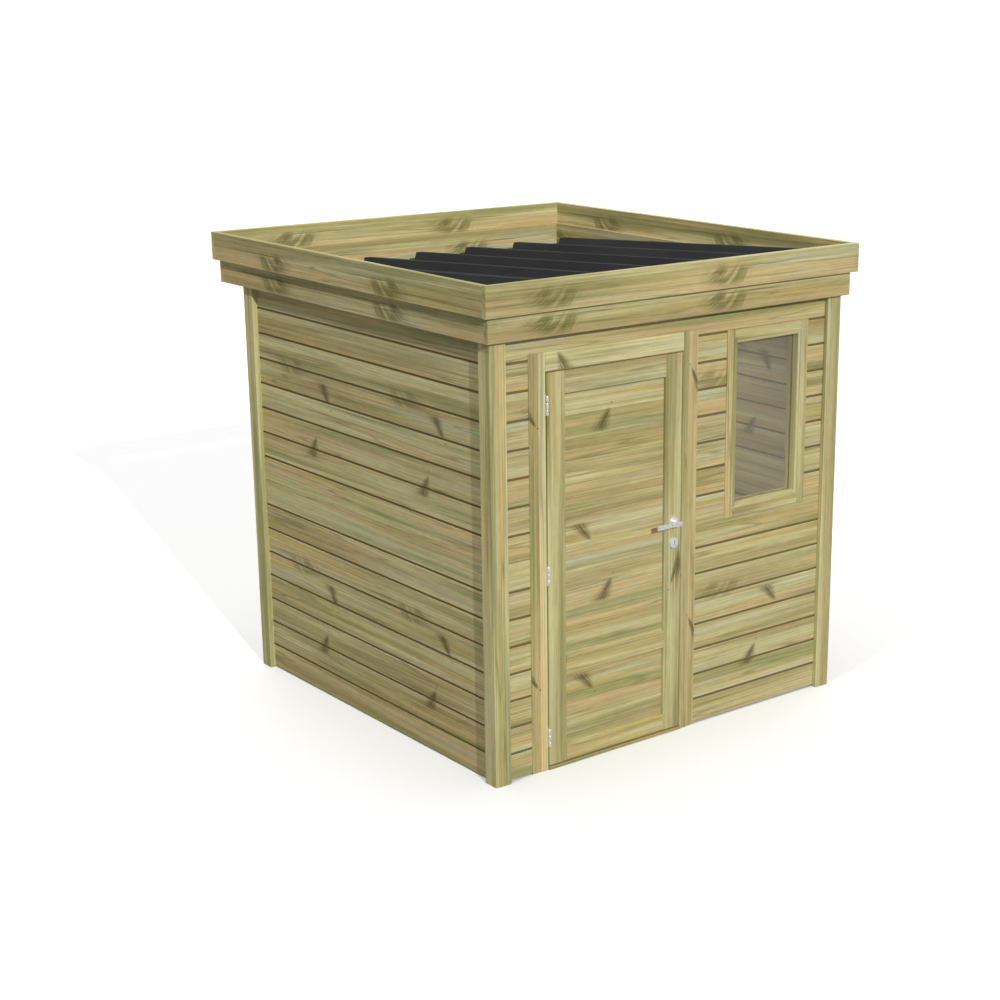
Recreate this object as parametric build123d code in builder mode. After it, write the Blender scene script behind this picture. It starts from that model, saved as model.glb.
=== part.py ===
from build123d import *
import math
import os

# Garden shed with one panelled door, one fixed window and a ribbed steel roof behind a double fascia.
# Units are millimetres. The door faces -Y, +X is to the right of somebody who faces the door, +Z is up.
# The origin is on the ground, under the middle of the roof's outline.

# Timber frame and cladding
frame_width = 2200
frame_depth = 2200
post_width = 90
post_chamfer = 4
post_proud = 28
groove_depth = 15
board = 28
board_cover = 132.8
board_rows = 16
cladding_bottom = 8

# Double fascia
fascia_height = 145
fascia_lap = 27
fascia_bottom = 2103
back_overhang = 213

# Steel roof
pan_height = 2207
roof_fall = 0.068
sheet_gauge = 0.8
sheet_clearance = 2
sheet_back_reach = 50
rib_pitch = 340
rib_base = 70
rib_top = 38
rib_height = 42
purlin_count = 4
purlin_width = 45
purlin_height = 70
bearer_width = 45
bearer_height = 95
roof_gap = 4

# Door and window side by side, moved off the wall's middle towards the right
door_window_gap = 191
openings_shift = 11.5

# Door frame
door_frame_width = 1020
door_frame_top = 2025
casing_face = 94
casing_depth = 75
casing_proud = 6
casing_strip = 48
casing_step = 3
header_face = 89
stop_width = 14
threshold_height = 15
threshold_proud = 12

# Door leaf
leaf_thickness = 40
leaf_gap = 7
stop_clearance = 5
stile_width = 104
top_rail_height = 108
mid_rail_height = 90
mid_rail_bottom = 459
bottom_rail_height = 80
panel_thickness = 12
panel_recess = 16
panel_tongue = 10

# Hinges
hinge_heights = (165, 972, 1779)
hinge_length = 95
hinge_plate = 2
hinge_plate_reach = 28
knuckle_radius = 6.5
knuckle_gap = 0.5
pin_radius = 3
pin_clearance = 0.3
hinge_standoff = 1.5

# Lever handle and lock
handle_height = 1099
handle_backset = 48
lock_drop = 108
rosette_radius = 26
rosette_thickness = 8
neck_radius = 10
neck_clearance = 0.5
neck_end_gap = 1
lever_reach = 145
lever_height = 22
lever_thickness = 9
lever_standoff = 50
spindle_width = 8
spindle_hole_radius = 9
cylinder_radius = 8.5
cylinder_tab_width = 10
cylinder_tab_height = 33
cylinder_proud = 3

# Window
window_width = 552
window_bottom = 1052
window_face = 68
window_depth = 90
window_proud = 5
glass_setback = 42
glass_thickness = 4
glass_rebate = 12
glass_edge_clearance = 2
bead_depth = 14
bead_width = 18

# Eased edges
timber_ease = 2
metal_ease = 1

# Places that follow from the sizes above
front_overhang = 2 * board
roof_width = frame_width + 2 * front_overhang
roof_depth = frame_depth + front_overhang + back_overhang
post_left = -frame_width / 2
post_front = -roof_depth / 2 + front_overhang
post_back = post_front + frame_depth
mid_depth = (post_front + post_back) / 2
clad_front = post_front + post_proud
clad_left = post_left + post_proud
inner_left = clad_left + board
inner_front = clad_front + board
inner_back = post_back - post_proud - board
wall_top = cladding_bottom + board_rows * board_cover
top_board_bottom = wall_top - board_cover
upper_fascia_bottom = fascia_bottom + fascia_height - fascia_lap
fascia_top = upper_fascia_bottom + fascia_height
roof_angle = math.degrees(math.atan(roof_fall))
groove_edge = post_width - groove_depth

casing_front = clad_front - casing_proud
openings_width = door_frame_width + door_window_gap + window_width
casing_left = openings_shift - openings_width / 2
casing_right = casing_left + door_frame_width
opening_left = casing_left + casing_face
opening_right = casing_right - casing_face
header_bottom = door_frame_top - header_face
leaf_left = opening_left + leaf_gap
leaf_right = opening_right - leaf_gap
leaf_width = leaf_right - leaf_left
leaf_bottom = threshold_height + leaf_gap
leaf_top = header_bottom - leaf_gap
leaf_back = casing_front + leaf_thickness
stop_front = leaf_back + stop_clearance

window_left = casing_right + door_window_gap
window_right = window_left + window_width
window_height = top_board_bottom - window_bottom
window_front = clad_front - window_proud


def pan_under(y):
    """Height of the roof sheet's underside at depth y."""
    return pan_height - roof_fall * y


def save(piece, name):
    """Name a finished piece and write it."""
    piece.part.label = name
    export_step(piece.part, f"parts/{name}.step")


def slab(low, high):
    """Axis-parallel plank between two corners, in the part that is being built."""
    size = [b - a for a, b in zip(low, high)]
    middle = [(a + b) / 2 for a, b in zip(low, high)]
    with Locations(tuple(middle)):
        return Box(*size)


def ease(piece, grain):
    """Ease a piece's edges along the grain, on its front and its back face."""
    rows = piece.edges().filter_by(grain).group_by(Axis.Y)
    chamfer(rows[0] + rows[-1], timber_ease)


os.makedirs("parts", exist_ok=True)

# Corner posts, grooved for the boards and cut to the slope of the roof
post_cut = Plane(origin=(0, 0, pan_under(0) - roof_gap), z_dir=(0, roof_fall, 1))
with BuildPart() as corner_posts:
    with BuildSketch(Plane.XY) as post_section:
        with Locations((post_left, post_front)):
            Rectangle(post_width, post_width, align=Align.MIN)
        chamfer(post_section.vertices(), post_chamfer)
        with Locations((post_left + groove_edge, clad_front)):
            Rectangle(groove_depth, board, align=Align.MIN, mode=Mode.SUBTRACT)
        with Locations((clad_left, post_front + groove_edge)):
            Rectangle(board, groove_depth, align=Align.MIN, mode=Mode.SUBTRACT)
    extrude(amount=fascia_top)
    mirror(about=Plane.YZ)
    mirror(about=Plane.XZ.offset(-mid_depth))
    split(bisect_by=post_cut, keep=Keep.BOTTOM)
save(corner_posts, "corner_posts")

# Side and back walls, their ends held in the posts' grooves
wall_start = post_front + groove_edge
wall_end = post_back - groove_edge
wall_side = post_left + groove_edge
with BuildPart() as left_wall:
    slab((clad_left, wall_start, cladding_bottom), (inner_left, wall_end, wall_top))
save(left_wall, "left_wall")

with BuildPart() as right_wall:
    slab((-inner_left, wall_start, cladding_bottom), (-clad_left, wall_end, wall_top))
save(right_wall, "right_wall")

with BuildPart() as back_wall:
    slab((wall_side, inner_back, cladding_bottom), (-wall_side, inner_back + board, wall_top))
save(back_wall, "back_wall")

# Front wall round the door frame and the window
with BuildPart() as front_wall_left:
    slab((wall_side, clad_front, cladding_bottom), (casing_left, inner_front, top_board_bottom))
save(front_wall_left, "front_wall_left")

with BuildPart() as front_wall_between:
    slab((casing_right, clad_front, window_bottom), (window_left, inner_front, top_board_bottom))
save(front_wall_between, "front_wall_between")

with BuildPart() as front_wall_below_window:
    slab((casing_right, clad_front, cladding_bottom), (-wall_side, inner_front, window_bottom))
save(front_wall_below_window, "front_wall_below_window")

with BuildPart() as front_wall_right:
    slab((window_right, clad_front, window_bottom), (-wall_side, inner_front, top_board_bottom))
save(front_wall_right, "front_wall_right")

with BuildPart() as front_top_board:
    slab((wall_side, clad_front, top_board_bottom), (-wall_side, inner_front, wall_top))
    with BuildSketch(Plane.XZ.offset(-clad_front)):
        with Locations((casing_left, 0)):
            Rectangle(door_frame_width, door_frame_top, align=Align.MIN)
    extrude(amount=-board, mode=Mode.SUBTRACT)
save(front_top_board, "front_top_board")

# Fascia boards: the lower ring is fixed to the posts, the upper ring laps over it
outer_x = roof_width / 2
outer_y = roof_depth / 2


def fascia_ring(prefix, inset, bottom):
    """Four eased boards of one fascia ring; the side boards run between the front and back boards."""
    far_x = outer_x - inset
    far_y = outer_y - inset
    top = bottom + fascia_height
    spans = {
        "front": ((-far_x, -far_y), (far_x, -far_y + board)),
        "back": ((-far_x, far_y - board), (far_x, far_y)),
        "left": ((-far_x, -far_y + board), (-far_x + board, far_y - board)),
        "right": ((far_x - board, -far_y + board), (far_x, far_y - board)),
    }
    for side, (low, high) in spans.items():
        grain = Axis.X if side in ("front", "back") else Axis.Y
        with BuildPart() as fascia:
            slab((*low, bottom), (*high, top))
            chamfer(fascia.edges().filter_by(grain), timber_ease)
        save(fascia, f"{prefix}_fascia_{side}")


fascia_ring("lower", board, fascia_bottom)
fascia_ring("upper", 0, upper_fascia_bottom)

# Sloping bearers on the inner faces of the posts, and the purlins that lie on them
bearer_x = post_left + post_width
bearer_drop = purlin_height / math.cos(math.radians(roof_angle))
with BuildPart() as roof_bearers:
    with BuildSketch(Plane.YZ.offset(bearer_x)):
        with BuildLine():
            near_z = pan_under(inner_front) - bearer_drop
            far_z = pan_under(inner_back) - bearer_drop
            Polyline(
                (inner_front, near_z),
                (inner_back, far_z),
                (inner_back, far_z - bearer_height),
                (inner_front, near_z - bearer_height),
                close=True,
            )
        make_face()
    extrude(amount=bearer_width)
    mirror(about=Plane.YZ)
save(roof_bearers, "roof_bearers")

purlin_margin = purlin_height
purlin_step = (inner_back - inner_front - 2 * purlin_margin) / (purlin_count - 1)
with BuildPart() as purlins:
    with BuildSketch(Plane.YZ.offset(inner_left)):
        for index in range(purlin_count):
            purlin_y = inner_front + purlin_margin + index * purlin_step
            with Locations((purlin_y, pan_under(purlin_y))):
                Rectangle(purlin_width, purlin_height, rotation=-roof_angle, align=(Align.CENTER, Align.MAX))
    extrude(amount=-2 * inner_left)
save(purlins, "purlins")

# Trapezoidal steel sheet, its ribs running down the fall
sheet_half = outer_x - 2 * board - sheet_clearance
sheet_front = -outer_y + board + sheet_clearance
sheet_back = post_back + sheet_back_reach
slope_run = math.hypot(1, roof_fall)
sheet_length = (sheet_back - sheet_front) * slope_run
rib_count = int((2 * sheet_half - rib_base) // rib_pitch) + 1
web_angle = math.degrees(math.atan2(rib_height, (rib_base - rib_top) / 2))
web_gauge = sheet_gauge / math.sin(math.radians(web_angle))
sheet_end = Plane(origin=(0, sheet_back, pan_under(sheet_back)), x_dir=(1, 0, 0), z_dir=(0, -1, roof_fall))
rib_centres = [(sheet_half - rib_base / 2 - index * rib_pitch, 0) for index in range(rib_count)]
with BuildPart() as roof_sheet:
    with BuildSketch(sheet_end):
        Rectangle(2 * sheet_half, sheet_gauge, align=(Align.CENTER, Align.MIN))
        with Locations(*rib_centres):
            Trapezoid(rib_base, rib_height, web_angle, align=(Align.CENTER, Align.MIN))
        with Locations(*[(x, -sheet_gauge) for x, _ in rib_centres]):
            Trapezoid(
                rib_base - 2 * web_gauge + 2 * sheet_gauge / math.tan(math.radians(web_angle)),
                rib_height,
                web_angle,
                align=(Align.CENTER, Align.MIN),
                mode=Mode.SUBTRACT,
            )
    extrude(amount=sheet_length)
save(roof_sheet, "roof_sheet")

# Door frame: two rebated jambs, a header between them and a threshold on the ground
casing_back = casing_front + casing_depth
with BuildPart() as door_jamb_left:
    with BuildSketch(Plane.XY):
        with Locations((casing_left, casing_front)):
            Rectangle(casing_face, casing_depth, align=Align.MIN)
            Rectangle(casing_strip, casing_step, align=Align.MIN, mode=Mode.SUBTRACT)
    extrude(amount=door_frame_top)
    chamfer(door_jamb_left.edges().filter_by(Axis.Z).group_by(Axis.Y)[0], timber_ease)
    slab(
        (opening_left, stop_front, threshold_height),
        (opening_left + stop_width, casing_back, header_bottom),
    )
save(door_jamb_left, "door_jamb_left")

frame_middle = (casing_left + casing_right) / 2
with BuildPart() as door_jamb_right:
    add(mirror(door_jamb_left.part, about=Plane.YZ.offset(frame_middle)))
save(door_jamb_right, "door_jamb_right")

with BuildPart() as door_header:
    slab((opening_left, casing_front, header_bottom), (opening_right, casing_back, door_frame_top))
    chamfer(door_header.edges().filter_by(Axis.X).group_by(Axis.Y)[0], timber_ease)
    slab(
        (opening_left + stop_width, stop_front, header_bottom - stop_width),
        (opening_right - stop_width, casing_back, header_bottom),
    )
save(door_header, "door_header")

with BuildPart() as threshold:
    slab((opening_left, clad_front - threshold_proud, 0), (opening_right, casing_back, threshold_height))
    chamfer(threshold.edges().filter_by(Axis.X).group_by(Axis.Y)[0].sort_by(Axis.Z)[-1], timber_ease)
save(threshold, "threshold")

# Door leaf: grooved stiles and rails that hold two recessed panels
panel_front = casing_front + panel_recess
rail_left = leaf_left + stile_width
rail_right = leaf_right - stile_width
spindle_x = leaf_right - handle_backset
lock_height = handle_height - lock_drop
cylinder_tab_drop = cylinder_tab_height - cylinder_radius
cylinder_axis = lock_height + cylinder_tab_height / 2 - cylinder_radius


def door_stile(outer, inner):
    """One stile between its outer and inner edge, with the panel groove along the inner edge."""
    low, high = sorted((outer, inner))
    slab((low, casing_front, leaf_bottom), (high, leaf_back, leaf_top))
    groove_low, groove_high = sorted((inner, inner + math.copysign(panel_tongue, outer - inner)))
    with BuildSketch(Plane.XY.offset(leaf_bottom)) as groove:
        with Locations((groove_low, panel_front)):
            Rectangle(groove_high - groove_low, panel_thickness, align=Align.MIN)
    extrude(groove.sketch, amount=leaf_top - leaf_bottom, mode=Mode.SUBTRACT)


with BuildPart() as door_stile_hinge:
    door_stile(leaf_left, rail_left)
    ease(door_stile_hinge, Axis.Z)
save(door_stile_hinge, "door_stile_hinge")

lock_face = Plane.XZ.offset(-casing_front)
with BuildPart() as door_stile_lock:
    door_stile(leaf_right, rail_right)
    ease(door_stile_lock, Axis.Z)
    with BuildSketch(lock_face):
        with Locations((spindle_x, handle_height)):
            Circle(spindle_hole_radius)
        with Locations((spindle_x, cylinder_axis)):
            Circle(cylinder_radius)
            Rectangle(cylinder_tab_width, cylinder_tab_drop, align=(Align.CENTER, Align.MAX))
    extrude(amount=-leaf_thickness, mode=Mode.SUBTRACT)
save(door_stile_lock, "door_stile_lock")


def door_rail(name, bottom, top, grooves):
    """Cross rail with end tongues in the stiles and a panel groove in each edge that is named."""
    with BuildPart() as rail:
        slab((rail_left, casing_front, bottom), (rail_right, leaf_back, top))
        ease(rail, Axis.X)
        slab(
            (rail_left - panel_tongue, panel_front, bottom),
            (rail_right + panel_tongue, panel_front + panel_thickness, top),
        )
        for edge, side in grooves:
            with BuildSketch(Plane.XY.offset(edge)):
                with Locations((rail_left - panel_tongue, panel_front)):
                    Rectangle(rail_right - rail_left + 2 * panel_tongue, panel_thickness, align=Align.MIN)
            extrude(amount=side * panel_tongue, mode=Mode.SUBTRACT)
    save(rail, name)


mid_rail_top = mid_rail_bottom + mid_rail_height
bottom_rail_top = leaf_bottom + bottom_rail_height
top_rail_bottom = leaf_top - top_rail_height
door_rail("door_top_rail", top_rail_bottom, leaf_top, [(top_rail_bottom, 1)])
door_rail("door_mid_rail", mid_rail_bottom, mid_rail_top, [(mid_rail_bottom, 1), (mid_rail_top, -1)])
door_rail("door_bottom_rail", leaf_bottom, bottom_rail_top, [(bottom_rail_top, -1)])


def door_panel(name, bottom, top):
    """Thin panel whose edges sit in the grooves round it."""
    with BuildPart() as panel:
        slab(
            (rail_left - panel_tongue, panel_front, bottom - panel_tongue),
            (rail_right + panel_tongue, panel_front + panel_thickness, top + panel_tongue),
        )
    save(panel, name)


door_panel("door_upper_panel", mid_rail_top, top_rail_bottom)
door_panel("door_lower_panel", bottom_rail_top, mid_rail_bottom)

# Knuckle hinges: the frame half carries the pin and two knuckles, the door half the middle one
hinge_x = opening_left + leaf_gap / 2
hinge_y = casing_front - knuckle_radius - hinge_standoff
plate_start = hinge_y + knuckle_radius + knuckle_gap
plate_length = casing_front + hinge_plate_reach - plate_start
knuckle_length = hinge_length / 3
with BuildPart() as hinge_frame_halves:
    for height in hinge_heights:
        hinge_bottom = height - hinge_length / 2
        with BuildSketch(Plane.XY.offset(hinge_bottom)):
            with Locations((hinge_x, hinge_y)):
                Circle(pin_radius)
            with Locations((opening_left, plate_start)):
                Rectangle(hinge_plate, plate_length, align=Align.MIN)
        extrude(amount=hinge_length)
        for lift in (0, hinge_length - knuckle_length + knuckle_gap):
            with BuildSketch(Plane.XY.offset(hinge_bottom + lift)):
                with Locations((hinge_x, hinge_y)):
                    Circle(knuckle_radius)
                with Locations((opening_left, hinge_y)):
                    Rectangle(hinge_plate, plate_start - hinge_y, align=Align.MIN)
            extrude(amount=knuckle_length - knuckle_gap)
save(hinge_frame_halves, "hinge_frame_halves")

with BuildPart() as hinge_door_halves:
    for height in hinge_heights:
        with BuildSketch(Plane.XY.offset(height - hinge_length / 2)):
            with Locations((leaf_left - hinge_plate, plate_start)):
                Rectangle(hinge_plate, plate_length, align=Align.MIN)
        extrude(amount=hinge_length)
        with BuildSketch(Plane.XY.offset(height - knuckle_length / 2)):
            with Locations((hinge_x, hinge_y)):
                Circle(knuckle_radius)
            with Locations((leaf_left - hinge_plate, hinge_y)):
                Rectangle(hinge_plate, plate_start - hinge_y, align=Align.MIN)
            with Locations((hinge_x, hinge_y)):
                Circle(pin_radius + pin_clearance, mode=Mode.SUBTRACT)
        extrude(amount=knuckle_length)
save(hinge_door_halves, "hinge_door_halves")

# Round rosettes on both faces, for the lever's neck and for the lock
with BuildPart() as door_rosettes:
    for face, outward in ((casing_front, 1), (leaf_back, -1)):
        with BuildSketch(Plane.XZ.offset(-face)):
            with Locations((spindle_x, handle_height)):
                Circle(rosette_radius)
                Circle(neck_radius + neck_clearance, mode=Mode.SUBTRACT)
            with Locations((spindle_x, lock_height)):
                Circle(rosette_radius)
            with Locations((spindle_x, cylinder_axis)):
                Circle(cylinder_radius, mode=Mode.SUBTRACT)
                Rectangle(
                    cylinder_tab_width,
                    cylinder_tab_drop,
                    align=(Align.CENTER, Align.MAX),
                    mode=Mode.SUBTRACT,
                )
        extrude(amount=outward * rosette_thickness)
    rims = door_rosettes.edges().filter_by(GeomType.CIRCLE)
    outer_rims = rims.filter_by(lambda rim: rim.radius == rosette_radius).group_by(Axis.Y)
    chamfer(outer_rims[0] + outer_rims[-1], metal_ease)
save(door_rosettes, "door_rosettes")

with BuildPart() as lock_cylinder:
    with BuildSketch(Plane.XZ.offset(-casing_front + rosette_thickness + cylinder_proud)):
        with Locations((spindle_x, cylinder_axis)):
            Circle(cylinder_radius)
            Rectangle(cylinder_tab_width, cylinder_tab_drop, align=(Align.CENTER, Align.MAX))
    extrude(amount=-leaf_thickness - 2 * (rosette_thickness + cylinder_proud))
save(lock_cylinder, "lock_cylinder")


# Lever handles on one square spindle
def lever(name, face, outward):
    """Neck and flat bar of one lever; outward is 1 on the outer face and -1 on the inner one."""
    with BuildPart() as handle:
        with BuildSketch(Plane.XZ.offset(-face + outward * neck_end_gap)) as neck:
            with Locations((spindle_x, handle_height)):
                Circle(neck_radius)
        extrude(neck.sketch, amount=outward * (lever_standoff - neck_end_gap))
        with BuildSketch(Plane.XZ.offset(-face + outward * lever_standoff)):
            with Locations((spindle_x, handle_height)):
                Circle(lever_height / 2)
                Rectangle(lever_reach, lever_height, align=(Align.MAX, Align.CENTER))
        extrude(amount=outward * lever_thickness)
        bar_faces = handle.faces().filter_by(Axis.Y).sort_by(Axis.Y)
        chamfer(bar_faces[0 if outward > 0 else -1].edges(), metal_ease)
        with BuildSketch(Plane.XZ.offset(-face)):
            with Locations((spindle_x, handle_height)):
                Rectangle(spindle_width, spindle_width)
        extrude(amount=outward * lever_standoff / 2, mode=Mode.SUBTRACT)
    save(handle, name)


lever("lever_outer", casing_front, 1)
lever("lever_inner", leaf_back, -1)

with BuildPart() as lever_spindle:
    with BuildSketch(Plane.XZ.offset(-casing_front + lever_standoff / 2)):
        with Locations((spindle_x, handle_height)):
            Rectangle(spindle_width, spindle_width)
    extrude(amount=-leaf_thickness - lever_standoff)
save(lever_spindle, "lever_spindle")

# Fixed window: rebated frame, pane and the beads that hold it from inside
sight_width = window_width - 2 * window_face
sight_height = window_height - 2 * window_face
window_middle = ((window_left + window_right) / 2, (window_bottom + top_board_bottom) / 2)


def window_plane(depth):
    """Plane parallel to the front wall, a given depth behind the window frame's face."""
    return Plane.XZ.offset(-window_front - depth)


with BuildPart() as window_frame:
    with BuildSketch(window_plane(0)):
        with Locations(window_middle):
            Rectangle(window_width, window_height)
            Rectangle(sight_width, sight_height, mode=Mode.SUBTRACT)
    extrude(amount=-window_depth)
    with BuildSketch(window_plane(glass_setback)):
        with Locations(window_middle):
            Rectangle(sight_width + 2 * glass_rebate, sight_height + 2 * glass_rebate)
    extrude(amount=-(window_depth - glass_setback), mode=Mode.SUBTRACT)
    chamfer(window_frame.faces().sort_by(Axis.Y)[0].edges(), timber_ease)
save(window_frame, "window_frame")

pane_edge = 2 * (glass_rebate - glass_edge_clearance)
with BuildPart() as window_glass:
    with BuildSketch(window_plane(glass_setback)):
        with Locations(window_middle):
            Rectangle(sight_width + pane_edge, sight_height + pane_edge)
    extrude(amount=-glass_thickness)
save(window_glass, "window_glass")

with BuildPart() as window_beads:
    with BuildSketch(window_plane(glass_setback + glass_thickness)):
        with Locations(window_middle):
            Rectangle(sight_width + 2 * glass_rebate, sight_height + 2 * glass_rebate)
            Rectangle(
                sight_width + 2 * glass_rebate - 2 * bead_width,
                sight_height + 2 * glass_rebate - 2 * bead_width,
                mode=Mode.SUBTRACT,
            )
    extrude(amount=-bead_depth)
save(window_beads, "window_beads")
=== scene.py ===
"""Looks of a timber garden shed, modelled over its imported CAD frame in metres."""

import math
import random

import bmesh
import bpy
from bpy.props import FloatProperty, FloatVectorProperty, IntProperty, PointerProperty
from bpy.types import Operator, Panel, PropertyGroup
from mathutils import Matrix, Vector


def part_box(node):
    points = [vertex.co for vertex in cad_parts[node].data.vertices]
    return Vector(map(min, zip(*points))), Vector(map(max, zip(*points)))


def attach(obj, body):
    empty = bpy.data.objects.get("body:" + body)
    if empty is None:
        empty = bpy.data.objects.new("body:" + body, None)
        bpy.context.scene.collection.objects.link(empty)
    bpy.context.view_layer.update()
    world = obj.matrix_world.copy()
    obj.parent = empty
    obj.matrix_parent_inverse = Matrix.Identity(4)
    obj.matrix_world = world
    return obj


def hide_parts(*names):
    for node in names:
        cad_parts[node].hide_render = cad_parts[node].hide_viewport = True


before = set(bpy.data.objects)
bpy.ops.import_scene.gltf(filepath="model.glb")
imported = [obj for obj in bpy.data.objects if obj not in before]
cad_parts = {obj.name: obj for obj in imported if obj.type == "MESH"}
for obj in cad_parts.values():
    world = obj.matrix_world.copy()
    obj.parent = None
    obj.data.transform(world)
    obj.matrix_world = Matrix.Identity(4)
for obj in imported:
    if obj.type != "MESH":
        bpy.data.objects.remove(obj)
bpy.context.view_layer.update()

bl_info = {
    "name": "Garden shed",
    "version": (1, 0, 0),
    "blender": (4, 5, 0),
    "location": "View3D > Sidebar > Shed",
    "description": "Boards, door, window, roof and fittings of a timber garden shed",
    "category": "Add Mesh",
}


# Sizes and colours


class CladdingSizes(PropertyGroup):
    """The horizontal boards of the four walls."""

    cover: FloatProperty(
        name="Cover", description="Height that one board covers", default=0.1328, unit="LENGTH"
    )
    joint_height: FloatProperty(
        name="Joint height", description="Open height of the joint over a board", default=0.0115,
        unit="LENGTH",
    )
    joint_depth: FloatProperty(
        name="Joint depth", description="Depth of the open joint", default=0.005, unit="LENGTH"
    )
    ease: FloatProperty(
        name="Eased edge", description="Width of a board's eased edge", default=0.0015, unit="LENGTH"
    )
    closed_row: IntProperty(
        name="Closed row", description="Row whose joint is driven tight, counted from 0 at the foot",
        default=7,
    )
    closed_joint: FloatProperty(
        name="Closed joint", description="Height of the tight joint", default=0.001, unit="LENGTH"
    )


class DoorSizes(PropertyGroup):
    """The planks of the door's panels, its lippings and hinges."""

    joint: FloatProperty(
        name="Plank joint", description="Width of the tight joint between planks", default=0.0008,
        unit="LENGTH",
    )
    knuckle_radius: FloatProperty(
        name="Knuckle radius", description="Radius of a hinge knuckle", default=0.0065, unit="LENGTH"
    )
    knuckle_rounding: FloatProperty(
        name="Knuckle rounding", description="Rounding of a knuckle's ends", default=0.0055, unit="LENGTH"
    )
    plate: FloatProperty(
        name="Plate", description="Thickness of a hinge plate", default=0.002, unit="LENGTH"
    )
    hinge_length: FloatProperty(
        name="Hinge length", description="Height of a hinge", default=0.095, unit="LENGTH"
    )
    opening_edge: FloatProperty(
        name="Opening edge", description="Place of the jamb's inner face on the hinge side", default=-0.776,
        unit="LENGTH",
    )
    lipping_gap: FloatProperty(
        name="Lipping gap", description="Gap between the leaf and the lippings", default=0.0028,
        unit="LENGTH",
    )
    lipping_reach: FloatProperty(
        name="Lipping reach", description="Distance of a lipping's outer side from the leaf", default=0.0075,
        unit="LENGTH",
    )


class WindowSizes(PropertyGroup):
    """The bars of the window frame."""

    bar_face: FloatProperty(name="Bar face", description="Width of a bar", default=0.050, unit="LENGTH")
    bead_face: FloatProperty(
        name="Bead face", description="Width of the bead round the pane", default=0.018, unit="LENGTH"
    )
    bead_step: FloatProperty(
        name="Bead step", description="Depth of the bead behind the frame's face", default=0.002,
        unit="LENGTH",
    )
    ease: FloatProperty(
        name="Eased edge", description="Width of the eased edges", default=0.0015, unit="LENGTH"
    )


class Colours(PropertyGroup):
    """Colours of the timber and the metal, in linear light."""

    pale: FloatVectorProperty(
        name="Pale pine", description="Sapwood", subtype="COLOR", default=(0.52, 0.475, 0.235)
    )
    warm: FloatVectorProperty(
        name="Warm pine", description="Pinkish heartwood", subtype="COLOR", default=(0.53, 0.405, 0.19)
    )
    ash: FloatVectorProperty(
        name="Ash pine", description="Greyish bands", subtype="COLOR", default=(0.47, 0.455, 0.28)
    )
    gold: FloatVectorProperty(
        name="Golden pine", description="Resinous bands", subtype="COLOR", default=(0.49, 0.375, 0.13)
    )
    brown: FloatVectorProperty(
        name="Brown pine", description="Darker heartwood", subtype="COLOR", default=(0.375, 0.30, 0.125)
    )
    green: FloatVectorProperty(
        name="Treated pine", description="Green of the treatment", subtype="COLOR",
        default=(0.305, 0.295, 0.115),
    )
    stain: FloatVectorProperty(
        name="Stain", description="Green stain round the knots", subtype="COLOR", default=(0.16, 0.15, 0.045)
    )
    knot: FloatVectorProperty(
        name="Knots", description="Dark knots", subtype="COLOR", default=(0.10, 0.082, 0.026)
    )
    # Painted shade: the darker colour that the timber takes on the faces inside the open joints, where shade
    # falls
    joint: FloatVectorProperty(
        name="Joints", description="Shaded bottom of the joints", subtype="COLOR", default=(0.18, 0.14, 0.055)
    )
    steel: FloatVectorProperty(
        name="Steel", description="Hinges, lever and lock", subtype="COLOR", default=(0.95, 0.95, 0.98)
    )
    sheet: FloatVectorProperty(
        name="Roof sheet", description="Coating of the roof sheet", subtype="COLOR",
        default=(0.036, 0.036, 0.038),
    )
    pane: FloatVectorProperty(
        name="Pane", description="Tint of the window pane", subtype="COLOR", default=(0.215, 0.21, 0.185)
    )


class StageSettings(PropertyGroup):
    """Floor, lights and surroundings."""

    floor_colour: FloatVectorProperty(
        name="Floor", description="Colour of the floor", subtype="COLOR", default=(0.9, 0.9, 0.9)
    )
    floor_size: FloatProperty(
        name="Floor size", description="Side of the floor", default=80.0, unit="LENGTH"
    )
    key_strength: FloatProperty(name="Key light", description="Strength of the key light", default=2.3)
    side_strength: FloatProperty(
        name="Side light", description="Strength of the light from the left", default=0.82
    )
    rear_strength: FloatProperty(
        name="Rear light", description="Strength of the light from behind", default=1.1
    )
    top_strength: FloatProperty(
        name="Top light", description="Strength of the light from above", default=0.9
    )
    sky_strength: FloatProperty(
        name="Surroundings", description="Strength of the pale surroundings", default=0.30
    )
    sky_seen: FloatProperty(
        name="Surroundings seen", description="Strength of the surroundings to the camera", default=1.1
    )
    inside_power: FloatProperty(
        name="Light inside", description="Power of the lamp under the roof", default=28, unit="POWER"
    )
    floor_return: FloatProperty(
        name="Floor return", description="Share of the floor's colour that lights the shed", default=0.25
    )


# How far one shift moves on in the timber, along the grain and the two ways across it

TIMBER_STEPS = (37.0, 11.0, 5.0)

# Distance within which two places are the same

HAIR = 0.0001

# Camera, solved from the shed's straight edges: degrees down from level and right of the depth axis

CAMERA_PLACE = (-5.805, -7.741, 3.568)
CAMERA_DOWN = 16.37
CAMERA_ASIDE = 39.07
CAMERA_LENS = 67.28

# Spike knots that the boards show: middle of the wide end along the grain, its height, lean to the tip

WALL_KNOTS = {
    "left": (
        (0.319, 1.687, -124), (-0.681, 1.692, -130), (0.446, 1.290, 119), (-0.565, 1.287, 120),
        (0.319, 0.622, -124), (-0.696, 0.627, -130), (0.416, 0.230, 119), (-0.580, 0.217, 120),
    ),
    "right": ((-0.668, 1.752, -121), (-0.556, 1.283, 124), (0.330, 1.690, -124), (0.440, 0.640, 119)),
    "front": ((0.627, 0.642, -48), (0.499, 0.243, 55)),
    "door": ((-0.464, 1.617, 55), (-0.594, 1.185, -47), (-0.453, 0.783, 55), (-0.584, 0.437, -47)),
}

# Heights of the joints between the planks of the door's panels

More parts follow.
